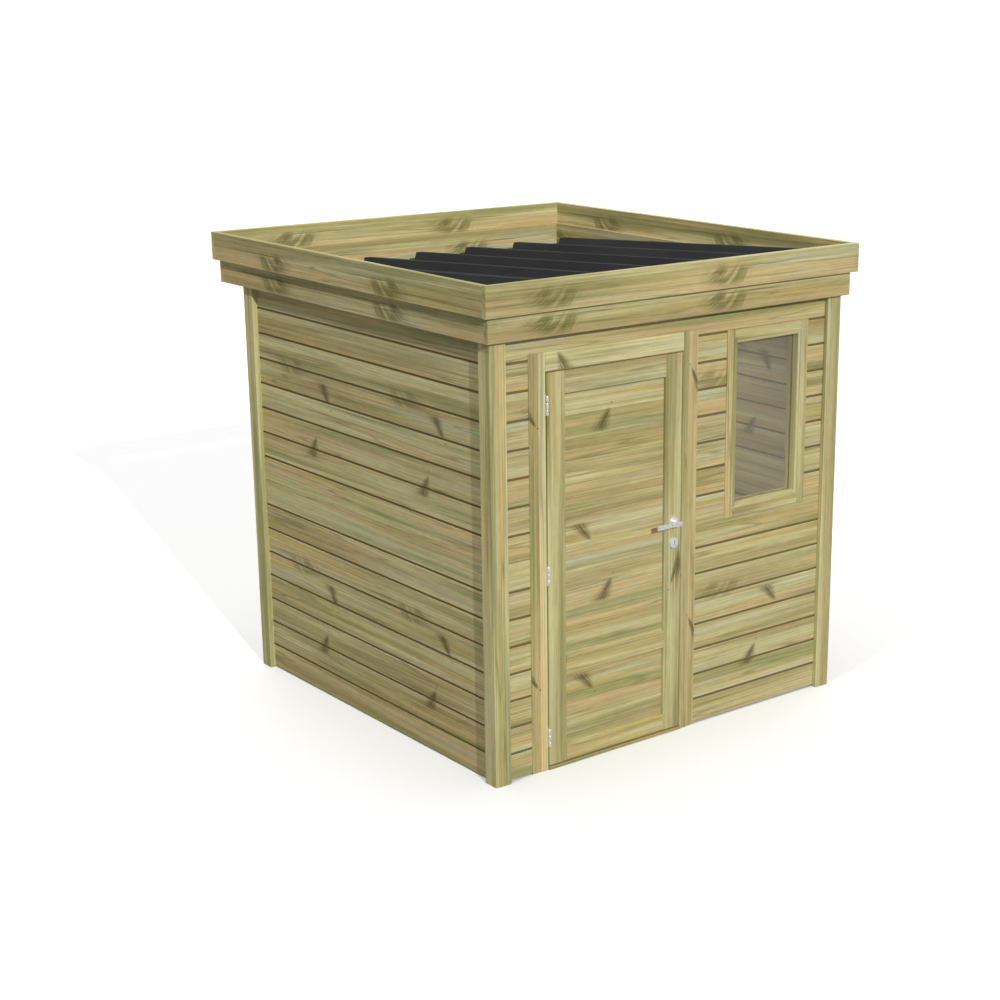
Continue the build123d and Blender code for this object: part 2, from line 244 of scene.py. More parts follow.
PANEL_JOINTS = (
    ("door_upper_panel", (0.690, 0.866, 1.078, 1.287, 1.532, 1.712)),
    ("door_lower_panel", (0.240,)),
)

# Fascia boards: grain, first whorl, height where the tone turns, tones and warmths below and above it

FASCIA_FINISHES = {
    "upper_fascia_front": ("x", (-0.779, 2.285), 2.296, (0.1, 0.3), (0.5, -0.7)),
    "lower_fascia_front": ("x", (-0.758, 2.160), 2.185, (0.1, 0.3), (0.5, -0.7)),
    "upper_fascia_left": ("y", (0.601, 2.265), 2.296, (0.4, 0.6), (0.5, -0.5)),
    "lower_fascia_left": ("y", (0.631, 2.150), 2.185, (0.1, 0.3), (0.5, -0.7)),
    "upper_fascia_back": ("x", (-0.671, 2.286), 2.296, (-0.8, -0.5), (0.4, -0.7)),
    "lower_fascia_back": ("x", (0.465, 2.150), 2.185, (0.1, 0.3), (0.5, -0.7)),
    "upper_fascia_right": ("y", (-0.310, 2.280), 2.296, (-0.9, -0.7), (0.2, -0.8)),
    "lower_fascia_right": ("y", (0.150, 2.160), 2.185, (0.1, 0.3), (0.5, -0.7)),
}


# Modelling helpers


def block(name, low, high):
    """Cube between two corners, its place in its mesh."""
    bpy.ops.object.select_all(action="DESELECT")
    low, high = Vector(low), Vector(high)
    bpy.ops.mesh.primitive_cube_add(size=1, location=(low + high) / 2, scale=high - low)
    piece = bpy.context.object
    piece.name = piece.data.name = name
    bpy.ops.object.transform_apply(location=True, rotation=True, scale=True)
    return piece


def activate(piece):
    """Select one piece alone and make it active."""
    bpy.ops.object.select_all(action="DESELECT")
    piece.select_set(True)
    bpy.context.view_layer.objects.active = piece


def enter(piece, mode):
    """Open a piece in edit mode with nothing selected; mode is VERT, EDGE or FACE."""
    activate(piece)
    bpy.ops.object.mode_set(mode="EDIT")
    bpy.ops.mesh.select_mode(type=mode)
    bpy.ops.mesh.select_all(action="DESELECT")


def leave():
    bpy.ops.object.mode_set(mode="OBJECT")


def pick(piece, kind, test):
    """Select the edges or faces of the piece in edit mode that pass the test."""
    mesh = bmesh.from_edit_mesh(piece.data)
    for item in getattr(mesh, kind):
        item.select_set(test(item))
    bmesh.update_edit_mesh(piece.data)


def ease_edges(piece, width, test, segments=2):
    """Bevel the edges that pass the test."""
    enter(piece, "EDGE")
    pick(piece, "edges", test)
    bpy.ops.mesh.bevel(offset=width, offset_type="OFFSET", segments=segments, profile=0.5)
    leave()


def along(axis):
    """Test for the edges that run along one axis."""

    def test(edge):
        run = edge.verts[0].co - edge.verts[1].co
        return abs(run[axis]) > 0.999 * run.length

    return test


def trim(piece, point, normal):
    """Cut off what lies beyond a plane, on the side its normal points to, and close the cut."""
    enter(piece, "FACE")
    bpy.ops.mesh.select_all(action="SELECT")
    bpy.ops.mesh.bisect(plane_co=point, plane_no=normal, use_fill=True, clear_outer=True)
    leave()


def mark(piece, name, values):
    """Store one number for each face of a piece; values is a number or a test of the face."""
    attribute = piece.data.attributes.new(name, "FLOAT", "FACE")
    for face in piece.data.polygons:
        attribute.data[face.index].value = values(face) if callable(values) else values


def mark_knots(piece, knots):
    """Store the two knots that a board can show; one that it hasn't lies far away."""
    spots = [(along, across, math.radians(lean)) for along, across, lean in knots]
    for letter, spot in zip("ab", spots + [(99, 99, 0)] * 2):
        attribute = piece.data.attributes.new("knot_" + letter, "FLOAT_VECTOR", "FACE")
        for face in piece.data.polygons:
            attribute.data[face.index].vector = spot


def board_knots(wall, seed, start, end, middle, cover):
    """Knots of one board, nearest first: the wall's own where it has a list, else scattered ones."""
    if wall in WALL_KNOTS:
        spill = 0.1
        near = [
            spot
            for spot in WALL_KNOTS[wall]
            if start - spill < spot[0] < end + spill and abs(spot[1] - middle) < cover / 2 + spill
        ]
        return sorted(near, key=lambda spot: abs(spot[1] - middle))
    chance = random.Random(seed)
    count = chance.choice((0, 1, 1, 2))
    leans = (-55, -48, 50, 56, 124, -125)
    return [
        (chance.uniform(start, end), middle + chance.uniform(-0.04, 0.04), chance.choice(leans))
        for _ in range(count)
    ]


def join(name, parts):
    """One object out of several."""
    bpy.ops.object.select_all(action="DESELECT")
    for part in parts:
        part.select_set(True)
    bpy.context.view_layer.objects.active = parts[0]
    bpy.ops.object.join()
    parts[0].name = parts[0].data.name = name
    return parts[0]


def dress(piece, material):
    piece.data.materials.clear()
    piece.data.materials.append(material)


def settle(piece, body, nodes):
    """Let a finished piece ride on its body and stand for its CAD nodes."""
    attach(piece, body)
    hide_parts(*nodes)


# Materials


def add(tree, kind, **settings):
    """New shader node with its settings."""
    node = tree.nodes.new(kind)
    for key, value in settings.items():
        setattr(node, key, value)
    return node


def feed(tree, value, socket):
    """Link a socket, or set a plain value."""
    if isinstance(value, bpy.types.NodeSocket):
        tree.links.new(value, socket)
    else:
        socket.default_value = value


def maths(tree, operation, *values, clamp=False):
    node = add(tree, "ShaderNodeMath", operation=operation, use_clamp=clamp)
    for value, socket in zip(values, node.inputs):
        feed(tree, value, socket)
    return node.outputs[0]


def blend(tree, factor, first, second, mode="MIX"):
    node = add(tree, "ShaderNodeMix", data_type="RGBA", blend_type=mode)
    for value, index in ((factor, 0), (first, 6), (second, 7)):
        feed(tree, value, node.inputs[index])
    return node.outputs[2]


def spread(tree, value, low, high, to_low=0.0, to_high=1.0):
    """Smooth step of a value between two limits."""
    node = add(tree, "ShaderNodeMapRange", interpolation_type="SMOOTHSTEP")
    for item, socket in zip((value, low, high, to_low, to_high), node.inputs):
        feed(tree, item, socket)
    return node.outputs[0]


def stretch(tree, vector, scale, offset=(0, 0, 0)):
    node = add(tree, "ShaderNodeMapping")
    feed(tree, vector, node.inputs["Vector"])
    node.inputs["Scale"].default_value = scale
    node.inputs["Location"].default_value = offset
    return node.outputs[0]


def noise(tree, vector, scale, offset=(0, 0, 0), detail=2.0, roughness=0.5):
    """Noise stretched along the grain."""
    node = add(tree, "ShaderNodeTexNoise")
    feed(tree, stretch(tree, vector, scale, offset), node.inputs["Vector"])
    node.inputs["Scale"].default_value = 1.0
    node.inputs["Detail"].default_value = detail
    node.inputs["Roughness"].default_value = roughness
    return node.outputs[0]


def new_group(name, inputs, outputs):
    """Empty node group with its sockets."""
    tree = bpy.data.node_groups.new(name, "ShaderNodeTree")
    for in_out, sockets in (("INPUT", inputs), ("OUTPUT", outputs)):
        for label, kind in sockets:
            tree.interface.new_socket(label, in_out=in_out, socket_type="NodeSocket" + kind)
    return tree, add(tree, "NodeGroupInput").outputs, add(tree, "NodeGroupOutput").inputs


def parts_of(tree, vector):
    node = add(tree, "ShaderNodeSeparateXYZ")
    feed(tree, vector, node.inputs[0])
    return node.outputs


def whole(tree, *values):
    node = add(tree, "ShaderNodeCombineXYZ")
    for value, socket in zip(values, node.inputs):
        feed(tree, value, socket)
    return node.outputs[0]


def ellipse(tree, vector, length, width):
    """Distance from the middle, 1 at the rim of an ellipse along X."""
    flat = whole(tree, *parts_of(tree, vector)[:2])
    node = add(tree, "ShaderNodeVectorMath", operation="LENGTH")
    feed(tree, stretch(tree, flat, (1 / length, 1 / width, 1)), node.inputs[0])
    return node.outputs["Value"]


def apart_from(tree, place, spot):
    node = add(tree, "ShaderNodeVectorMath", operation="SUBTRACT")
    feed(tree, place, node.inputs[0])
    feed(tree, spot, node.inputs[1])
    return node.outputs[0]


def turned(tree, vector, angle):
    node = add(tree, "ShaderNodeVectorRotate", rotation_type="Z_AXIS")
    feed(tree, vector, node.inputs["Vector"])
    feed(tree, angle, node.inputs["Angle"])
    return node.outputs[0]


def spike_group():
    """Node group that masks one spike knot: a streaky wedge, its wide end along the grain.

    Knot holds the place of the wide end along and across the grain and the lean from there to the tip.
    """
    if "Spike knot" in bpy.data.node_groups:
        return bpy.data.node_groups["Spike knot"]
    tree, given, result = new_group(
        "Spike knot",
        (("Place", "Vector"), ("Knot", "Vector"), ("Size", "Float")),
        (("Core", "Float"), ("Halo", "Float")),
    )
    spike_length, wide_end, narrow_end = 0.122, 0.068, 0.016
    offset = apart_from(tree, given["Place"], given["Knot"])
    lean = parts_of(tree, given["Knot"])[2]
    length = maths(tree, "MULTIPLY", given["Size"], spike_length)
    along, across = parts_of(tree, offset)[:2]
    local = turned(tree, whole(tree, along, across), maths(tree, "MULTIPLY", lean, -1.0))
    ragged = maths(tree, "SUBTRACT", noise(tree, local, (18, 170, 1), (3, 5, 0), 2, 0.65), 0.5)
    strands = noise(tree, local, (7, 260, 1), (8, 2, 0), 0)
    reach = maths(tree, "DIVIDE", across, maths(tree, "MULTIPLY", length, maths(tree, "SINE", lean)))
    forward = maths(tree, "COSINE", lean)
    middle = maths(tree, "MULTIPLY", maths(tree, "MULTIPLY", length, forward), reach)
    taper = maths(tree, "MULTIPLY_ADD", reach, narrow_end - wide_end, wide_end)
    half_width = maths(tree, "MAXIMUM", maths(tree, "MULTIPLY", taper, given["Size"]), 0.001)
    side = maths(tree, "DIVIDE", maths(tree, "SUBTRACT", along, middle), half_width)
    rim = maths(tree, "MULTIPLY_ADD", ragged, 1.2, maths(tree, "ABSOLUTE", side))
    base = maths(tree, "MULTIPLY_ADD", ragged, 0.5, reach)
    tip = maths(tree, "MULTIPLY_ADD", ragged, -0.4, reach)
    core = maths(tree, "MULTIPLY", spread(tree, rim, 1.2, 0.4), spread(tree, base, -0.1, 0.12))
    core = maths(tree, "MULTIPLY", core, spread(tree, tip, 1.1, 0.8))
    darker = maths(tree, "MULTIPLY", side, maths(tree, "SIGN", forward))
    core = maths(tree, "MULTIPLY", core, spread(tree, darker, -0.9, 0.4, 0.35, 1.0))
    core = maths(tree, "MULTIPLY", core, spread(tree, strands, 0.36, 0.56, 0.55, 1.0))
    beyond = whole(tree, maths(tree, "MULTIPLY", length, 1.24), 0.0, 0.0)
    pin = ellipse(tree, apart_from(tree, local, beyond), 0.006, 0.005)
    core = maths(tree, "MAXIMUM", core, spread(tree, pin, 1.1, 0.5, 0.0, 0.8))
    feed(tree, core, result["Core"])
    rim = ellipse(tree, offset, 0.19, 0.05)
    feed(tree, spread(tree, rim, 1.0, 0.05), result["Halo"])
    return tree


def whorl_group():
    """Node group that masks the fan-shaped whorls of knots that come back along a plank."""
    if "Knot whorls" in bpy.data.node_groups:
        return bpy.data.node_groups["Knot whorls"]
    tree, given, result = new_group(
        "Knot whorls", (("Place", "Vector"), ("First", "Vector")), (("Mask", "Float"),)
    )
    along, across = parts_of(tree, apart_from(tree, given["Place"], given["First"]))[:2]
    spacing = 1.045
    node = add(tree, "ShaderNodeMath", operation="WRAP")
    for value, socket in zip((along, spacing / 2, -spacing / 2), node.inputs):
        feed(tree, value, socket)
    local = whole(tree, node.outputs[0], across)
    fan = maths(tree, "MULTIPLY_ADD", node.outputs[0], -1.4, -0.72)
    rays = turned(tree, local, fan)
    coarse = spread(tree, noise(tree, rays, (5, 24, 1), (2, 3, 0), 2), 0.36, 0.52)
    fine = noise(tree, rays, (14, 170, 1), (1, 7, 0), 2)
    smudges = maths(tree, "MULTIPLY", coarse, spread(tree, fine, 0.35, 0.6, 0.4, 1.0))
    smudges = maths(tree, "MULTIPLY", smudges, spread(tree, ellipse(tree, local, 0.2, 0.066), 1.0, 0.45))
    aside = apart_from(tree, local, whole(tree, -0.12, -0.005, 0.0))
    hatch = noise(tree, turned(tree, aside, 0.65), (9, 190, 1), (4, 4, 0), 1)
    hatch = spread(tree, hatch, 0.44, 0.66, 0.0, 0.45)
    hatch = maths(tree, "MULTIPLY", hatch, spread(tree, ellipse(tree, aside, 0.085, 0.05), 1.0, 0.5))
    wander = noise(tree, local, (4, 1, 1), (3, 9, 0), 1)
    height = maths(tree, "SUBTRACT", across, maths(tree, "MULTIPLY_ADD", wander, 0.03, 0.018))
    seam = spread(tree, maths(tree, "ABSOLUTE", height), 0.0045, 0.0010, 0.0, 0.7)
    seam = maths(tree, "MULTIPLY", seam, spread(tree, node.outputs[0], -0.08, 0.02))
    seam = maths(tree, "MULTIPLY", seam, spread(tree, node.outputs[0], 0.45, 0.25))
    feed(tree, maths(tree, "MAXIMUM", maths(tree, "MAXIMUM", smudges, hatch), seam), result[0])
    return tree


def pine_group():
    """Node group that draws treated pine; X of Place runs along the grain and Tone darkens the timber."""
    if "Treated pine" in bpy.data.node_groups:
        return bpy.data.node_groups["Treated pine"]
    colours = bpy.context.scene.shed_colours
    tree, given, result = new_group(
        "Treated pine",
        (
            ("Place", "Vector"),
            ("Core", "Float"),
            ("Halo", "Float"),
            ("Whorl", "Float"),
            ("Tone", "Float"),
            ("Warmth", "Float"),
        ),
        (("Colour", "Color"), ("Roughness", "Float"), ("Height", "Float")),
    )
    place = given["Place"]
    hue = noise(tree, place, (0.32, 12, 12), (5, 2, 7), 2)
    heart = noise(tree, place, (0.4, 9, 9), (2, 9, 1), 2)
    moss = noise(tree, place, (0.55, 14, 14), (8, 3, 4), 3, 0.55)
    ashen = noise(tree, place, (0.6, 17, 17), (12, 6, 4), 3, 0.6)
    resin = noise(tree, place, (0.5, 22, 22), (7, 12, 3), 2)
    bands = noise(tree, place, (0.8, 55, 55), (9, 3, 8), 3, 0.6)
    streaks = noise(tree, place, (1.3, 150, 150), (1, 4, 2), 3, 0.6)
    fibre = noise(tree, place, (7, 620, 620), (4, 1, 3), 2, 0.6)
    mottle = noise(tree, place, (14, 60, 60), (2, 2, 5), 3, 0.6)
    drift = noise(tree, place, (0.7, 5, 5), (3, 1, 2), 1)
    phase = maths(tree, "MULTIPLY_ADD", drift, 9.0, maths(tree, "MULTIPLY", parts_of(tree, place)[1], 70.0))
    rings = maths(tree, "MULTIPLY_ADD", maths(tree, "SINE", maths(tree, "MULTIPLY", phase, 6.283)), 0.5, 0.5)

    tone = given["Tone"]
    hue = maths(tree, "MULTIPLY_ADD", given["Warmth"], 0.12, hue)
    heart = maths(tree, "MULTIPLY_ADD", tone, 0.13, heart)
    moss = maths(tree, "MULTIPLY_ADD", given["Warmth"], -0.06, moss)
    colour = blend(tree, spread(tree, hue, 0.44, 0.60), (*colours.pale, 1), (*colours.warm, 1))
    colour = blend(tree, spread(tree, ashen, 0.50, 0.66, 0.0, 0.75), colour, (*colours.ash, 1))
    colour = blend(tree, spread(tree, resin, 0.54, 0.66, 0.0, 0.8), colour, (*colours.gold, 1))
    colour = blend(tree, spread(tree, heart, 0.52, 0.66, 0.0, 0.8), colour, (*colours.brown, 1))
    colour = blend(tree, spread(tree, moss, 0.51, 0.68, 0.0, 0.85), colour, (*colours.green, 1))
    seam = maths(tree, "ABSOLUTE", maths(tree, "SUBTRACT", hue, 0.52))
    colour = blend(tree, spread(tree, seam, 0.016, 0.0, 0.0, 0.45), colour, (*colours.stain, 1))
    halo = maths(tree, "MULTIPLY", given["Halo"], spread(tree, streaks, 0.35, 0.7, 0.15, 0.65))
    colour = blend(tree, halo, colour, (*colours.brown, 1))
    colour = blend(tree, maths(tree, "MULTIPLY", given["Whorl"], 0.9), colour, (*colours.stain, 1))
    core = maths(tree, "MULTIPLY", given["Core"], spread(tree, streaks, 0.3, 0.7, 1.0, 0.75))
    colour = blend(tree, core, colour, (*colours.knot, 1))

    shade = maths(tree, "MULTIPLY_ADD", maths(tree, "POWER", rings, 2.0), -0.07, 1.03)
    for grain, strength in ((bands, -0.6), (streaks, -0.95), (fibre, -0.35), (mottle, -0.35)):
        shade = maths(tree, "MULTIPLY_ADD", maths(tree, "SUBTRACT", grain, 0.5), strength, shade)
    shade = maths(tree, "MULTIPLY_ADD", tone, -0.10, shade)
    colour = blend(tree, 1.0, colour, whole(tree, shade, shade, shade), "MULTIPLY")
    feed(tree, colour, result["Colour"])
    feed(tree, maths(tree, "MULTIPLY_ADD", streaks, 0.22, 0.52), result["Roughness"])
    height = maths(tree, "MULTIPLY_ADD", rings, -0.4, maths(tree, "MULTIPLY_ADD", fibre, 0.4, streaks))
    feed(tree, maths(tree, "MULTIPLY_ADD", given["Core"], -0.6, height), result["Height"])
    return tree


def pine(name, grain, shift=0.0, knots=None, whorls=(), tone=0.0, warmth=0.0, strips=None):
    """Treated pine whose grain runs along axis x, y or z.

    shift moves on to another part of the timber. Boards bring their own knots as attributes; elsewhere
    knots lists (along, across, lean, size). whorls lists (along, across) of the first whorl of a row.
    strips is (axis, place, tones before and after it, warmths before and after it).
    """
    material = bpy.data.materials.new(name)
    material.use_nodes = True
    tree = material.node_tree
    shader = tree.nodes["Principled BSDF"]
    axes = parts_of(tree, add(tree, "ShaderNodeTexCoord").outputs["Object"])
    order = {"x": (0, 2, 1), "y": (1, 2, 0), "z": (2, 0, 1)}[grain]
    place = whole(tree, *(axes[axis] for axis in order))
    if knots is None:
        board = add(tree, "ShaderNodeAttribute", attribute_name="board").outputs["Fac"]
        spots = [
            (add(tree, "ShaderNodeAttribute", attribute_name="knot_" + letter).outputs["Vector"], 1.0)
            for letter in "ab"
        ]
    else:
        board = 0.0
        spots = [((along, across, math.radians(lean)), size) for along, across, lean, size in knots]
    moves = [maths(tree, "MULTIPLY_ADD", board, step, shift * step) for step in TIMBER_STEPS]
    timber = whole(tree, *(maths(tree, "ADD", axes[axis], move) for axis, move in zip(order, moves)))
    core, halo = 0.0, 0.0
    for spot, size in spots:
        knot = add(tree, "ShaderNodeGroup", node_tree=spike_group())
        feed(tree, place, knot.inputs["Place"])
        feed(tree, spot, knot.inputs["Knot"])
        knot.inputs["Size"].default_value = size
        core = maths(tree, "MAXIMUM", core, knot.outputs["Core"])
        halo = maths(tree, "MAXIMUM", halo, knot.outputs["Halo"])
    wood = add(tree, "ShaderNodeGroup", node_tree=pine_group())
    feed(tree, timber, wood.inputs["Place"])
    feed(tree, core, wood.inputs["Core"])
    feed(tree, halo, wood.inputs["Halo"])
    whorl = 0.0
    for first in whorls:
        fan = add(tree, "ShaderNodeGroup", node_tree=whorl_group())
        feed(tree, place, fan.inputs["Place"])
        fan.inputs["First"].default_value = (*first, 0)
        whorl = maths(tree, "MAXIMUM", whorl, fan.outputs[0])
    if knots is None:
        whorl = maths(tree, "MULTIPLY", whorl, 0.65)
    feed(tree, whorl, wood.inputs["Whorl"])
    if strips:
        axis, limit, tones, warmths = strips
        past = spread(tree, axes["xyz".index(axis)], limit - 0.002, limit + 0.002)
        tone = maths(tree, "MULTIPLY_ADD", past, tones[1] - tones[0], tones[0])
        warmth = maths(tree, "MULTIPLY_ADD", past, warmths[1] - warmths[0], warmths[0])
    feed(tree, tone, wood.inputs["Tone"])
    feed(tree, warmth, wood.inputs["Warmth"])
    colour = wood.outputs["Colour"]
    if knots is None:
        # Painted shade: faces marked by the joint attribute are blended towards the darker joint colour,
        # standing in for the shade inside the groove
        joint = add(tree, "ShaderNodeAttribute", attribute_name="joint").outputs["Fac"]
        colour = blend(tree, joint, colour, (*bpy.context.scene.shed_colours.joint, 1))
    feed(tree, colour, shader.inputs["Base Color"])
    feed(tree, wood.outputs["Roughness"], shader.inputs["Roughness"])
    bump = add(tree, "ShaderNodeBump")
    bump.inputs["Strength"].default_value = 0.3
    bump.inputs["Distance"].default_value = 0.0006
    feed(tree, wood.outputs["Height"], bump.inputs["Height"])
    feed(tree, bump.outputs[0], shader.inputs["Normal"])
    shader.inputs["Specular IOR Level"].default_value = 0.25
    return material


def steel(name):
    material = bpy.data.materials.new(name)
    material.use_nodes = True
    tree = material.node_tree
    shader = tree.nodes["Principled BSDF"]
    place = add(tree, "ShaderNodeTexCoord").outputs["Object"]
    brush = noise(tree, place, (60, 60, 1400), (0, 0, 0), 3)
    # Painted reflection: the base colour is mottled between duller and brighter steel to stand in for
    # highlights and reflections
    painted_reflection_mottle = noise(tree, place, (110, 110, 70), (5, 0, 0), 2, 0.6)
    bright = bpy.context.scene.shed_colours.steel
    dull = tuple(value * 0.8 for value in bright)
    colour = blend(tree, spread(tree, painted_reflection_mottle, 0.36, 0.54), (*dull, 1), (*bright, 1))
    feed(tree, colour, shader.inputs["Base Color"])
    shader.inputs["Metallic"].default_value = 0.6
    feed(tree, maths(tree, "MULTIPLY_ADD", brush, 0.16, 0.24), shader.inputs["Roughness"])
    return material


def coated_sheet(name):
    material = bpy.data.materials.new(name)
    material.use_nodes = True
    tree = material.node_tree
    shader = tree.nodes["Principled BSDF"]
    place = add(tree, "ShaderNodeTexCoord").outputs["Object"]
    dust = noise(tree, place, (3, 1.2, 3), (0, 0, 0), 5, 0.6)
    grain = noise(tree, place, (900, 900, 900), (0, 0, 0), 2)
    sheet = bpy.context.scene.shed_colours.sheet
    pale = tuple(value * 1.35 for value in sheet)
    colour = blend(tree, spread(tree, dust, 0.35, 0.75), (*sheet, 1), (*pale, 1))
    feed(tree, colour, shader.inputs["Base Color"])
    feed(tree, maths(tree, "MULTIPLY_ADD", dust, 0.15, 0.8), shader.inputs["Roughness"])
    shader.inputs["Specular IOR Level"].default_value = 0.02
    bump = add(tree, "ShaderNodeBump")
    bump.inputs["Strength"].default_value = 0.15
    bump.inputs["Distance"].default_value = 0.0002
    feed(tree, grain, bump.inputs["Height"])
    feed(tree, bump.outputs[0], shader.inputs["Normal"])
    return material


def pane_glass(name):
    material = bpy.data.materials.new(name)
    material.use_nodes = True
    tree = material.node_tree
    shader = tree.nodes["Principled BSDF"]
    shader.inputs["Base Color"].default_value = (*bpy.context.scene.shed_colours.pane, 1)
    shader.inputs["Roughness"].default_value = 0.06
    shader.inputs["Alpha"].default_value = 0.36
    return material


# Pieces


def board(name, low, high, thickness_axis, joint_height, seed, knots):
    """Wall board with eased long edges and a tongue on top that stays behind the open joint."""
    sizes = bpy.context.scene.shed_cladding
    run = 1 - thickness_axis
    shoulder = Vector(high)
    shoulder.z -= joint_height
    piece = block(name, low, shoulder)
    ease_edges(piece, sizes.ease, along(run))
    enter(piece, "FACE")
    normal = [0, 0, 0]
    normal[thickness_axis] = 1
    tongue = (low[thickness_axis] + sizes.joint_depth, high[thickness_axis] - sizes.joint_depth)
    for depth in tongue:
        point = [0, 0, 0]
        point[thickness_axis] = depth
        bpy.ops.mesh.select_all(action="SELECT")
        bpy.ops.mesh.bisect(plane_co=point, plane_no=normal)
    bpy.ops.mesh.select_all(action="DESELECT")
    pick(
        piece,
        "faces",
        lambda face: face.normal.z > 0.9
        and tongue[0] < face.calc_center_median()[thickness_axis] < tongue[1],
    )
    bpy.ops.mesh.extrude_region_move(TRANSFORM_OT_translate={"value": (0, 0, joint_height)})
    leave()
    inner = (low[thickness_axis] + high[thickness_axis]) / 2
    reach = inner - low[thickness_axis] - sizes.ease * 1.2

    def gets_painted_joint_shade(face):
        above = face.center.z > shoulder.z - HAIR
        return 1.0 if above and abs(face.center[thickness_axis] - inner) < reach else 0.0

    mark(piece, "board", random.Random(seed).random())
    # Painted shade: the joint attribute marks the faces inside the open joint, which the timber darkens with
    # the joint colour
    mark(piece, "joint", gets_painted_joint_shade)
    mark_knots(piece, knots)
    return piece


def cladding(node, thickness_axis, wall, notch=None):
    """All boards of one wall node; notch is (left, right, top) of a frame that cuts into them."""
    sizes = bpy.context.scene.shed_cladding
    low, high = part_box(node)
    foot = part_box("left_wall")[0].z
    first = math.floor((low.z - foot) / sizes.cover + 0.01)
    last = math.ceil((high.z - foot) / sizes.cover - 0.01)
    run = 1 - thickness_axis
    rows = []
    for row in range(first, last):
        bottom = foot + row * sizes.cover
        joint = sizes.closed_joint if row == sizes.closed_row else sizes.joint_height
        seed = f"{wall}{row}"
        knots = board_knots(wall, seed, low[run], high[run], bottom + sizes.cover / 2, sizes.cover)
        spans = [(low.x, high.x, low.z)]
        if notch:
            spans = [(low.x, notch[0], low.z), (notch[0], notch[1], notch[2]), (notch[1], high.x, low.z)]
        for start, end, floor in spans:
            near = (start, low.y, bottom)
            far = (end, high.y, bottom + sizes.cover)
            piece = board(f"{node}_{row}", near, far, thickness_axis, joint, seed, knots)
            if floor > bottom + HAIR:
                trim(piece, (0, 0, floor), (0, 0, -1))
            if high.z < bottom + sizes.cover - HAIR:
                trim(piece, (0, 0, high.z), (0, 0, 1))
            rows.append(piece)
    return join(node + "_boards", rows)


class SHED_OT_cladding(Operator):
    """Clad the four walls with horizontal boards"""

    bl_idname = "shed.cladding"
    bl_label = "Cladding"

    def execute(self, context):
        frame_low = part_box("door_jamb_left")[0]
        frame_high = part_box("door_jamb_right")[1]
        lengthwise = pine("Cladding pine along the front", "x", 1.0, whorls=((0.325, 0.69), (0.28, 1.775)))
        crosswise = pine("Cladding pine along the sides", "y", 2.0, whorls=((0.60, 1.735), (0.58, 0.668)))
        notch = (frame_low.x, frame_high.x, frame_high.z)
        walls = (
            ("left_wall", 0, "left", None),
            ("right_wall", 0, "right", None),
            ("back_wall", 1, "back", None),
            ("front_wall_left", 1, "front", None),
            ("front_wall_between", 1, "front", None),
            ("front_wall_below_window", 1, "front", None),
            ("front_wall_right", 1, "front", None),
            ("front_top_board", 1, "front", notch),
        )
        for node, thickness_axis, wall, cut in walls:
            piece = cladding(node, thickness_axis, wall, cut)
            dress(piece, crosswise if thickness_axis == 0 else lengthwise)
            settle(piece, "shed", [node])
        return {"FINISHED"}


class SHED_OT_frame_timber(Operator):
    """Give the posts, fascia boards, door frame and roof timbers their grain"""

    bl_idname = "shed.frame_timber"
    bl_label = "Frame timber"

    def execute(self, context):
        casing_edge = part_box("door_jamb_left")[0].x + 0.052
        finishes = {
            "corner_posts": ("z", {"tone": -0.3, "warmth": -1.0}),
            "door_jamb_left": (
                "z",
                {
                    "knots": ((1.755, -0.872, 146, 0.6), (0.493, -0.872, 146, 0.6)),
                    "strips": ("x", casing_edge, (0.8, -2.2), (0.4, 0.2)),
                },
            ),
            "door_jamb_right": (
                "z",
                {
                    "knots": (
                        (1.745, 0.150, -24, 0.85), (0.820, 0.058, -12, 1.2), (0.480, 0.150, -24, 0.85),
                    ),
                    "warmth": 1.1,
                    "tone": 0.1,
                },
            ),
            "door_header": ("x", {"knots": ((-0.639, 1.924, 123, 0.9),), "tone": -1.9}),
            "threshold": ("x", {"tone": 0.5}),
            "roof_bearers": ("y", {}),
            "purlins": ("x", {}),
            "window_beads": ("z", {"tone": -4.0, "warmth": -1.5}),
            "door_stile_hinge": ("z", {"tone": 0.1, "warmth": -0.3}),
            "door_stile_lock": (
                "z",
                {"knots": ((0.800, 0.020, 20, 1.5), (0.940, 0.040, 200, 1.3)), "tone": 0.7, "warmth": -0.5},
            ),
            "door_top_rail": ("x", {"tone": 0.2}),
            "door_mid_rail": ("x", {"tone": -0.2}),
            "door_bottom_rail": ("x", {}),
        }
        for node, (grain, whorl, height, tones, warmths) in FASCIA_FINISHES.items():
            finishes[node] = (grain, {"whorls": (whorl,), "strips": ("z", height, tones, warmths)})
        for index, (node, (grain, finish)) in enumerate(finishes.items()):
            name = node.replace("_", " ").capitalize() + " pine"
            knots = finish.pop("knots", ())
            dress(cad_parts[node], pine(name, grain, 0.31 * index, knots, **finish))
        return {"FINISHED"}


def planks(node, heights):
    """Panel of tight-jointed planks in the place of a panel node."""
    sizes = bpy.context.scene.shed_door
    low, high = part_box(node)
    rows = []
    for row, (bottom, top) in enumerate(zip((low.z, *heights), (*heights, high.z))):
        plank = block(f"{node}_{row}", (low.x, low.y, bottom), (high.x, high.y, top))
        ease_edges(plank, sizes.joint, along(0), 1)
        mark(plank, "board", random.Random(f"{node}{row}").random())
        mark(plank, "joint", 0.0)
        mark_knots(plank, board_knots("door", "", low.x, high.x, (bottom + top) / 2, top - bottom))
        rows.append(plank)
    return join(node + "_planks", rows)


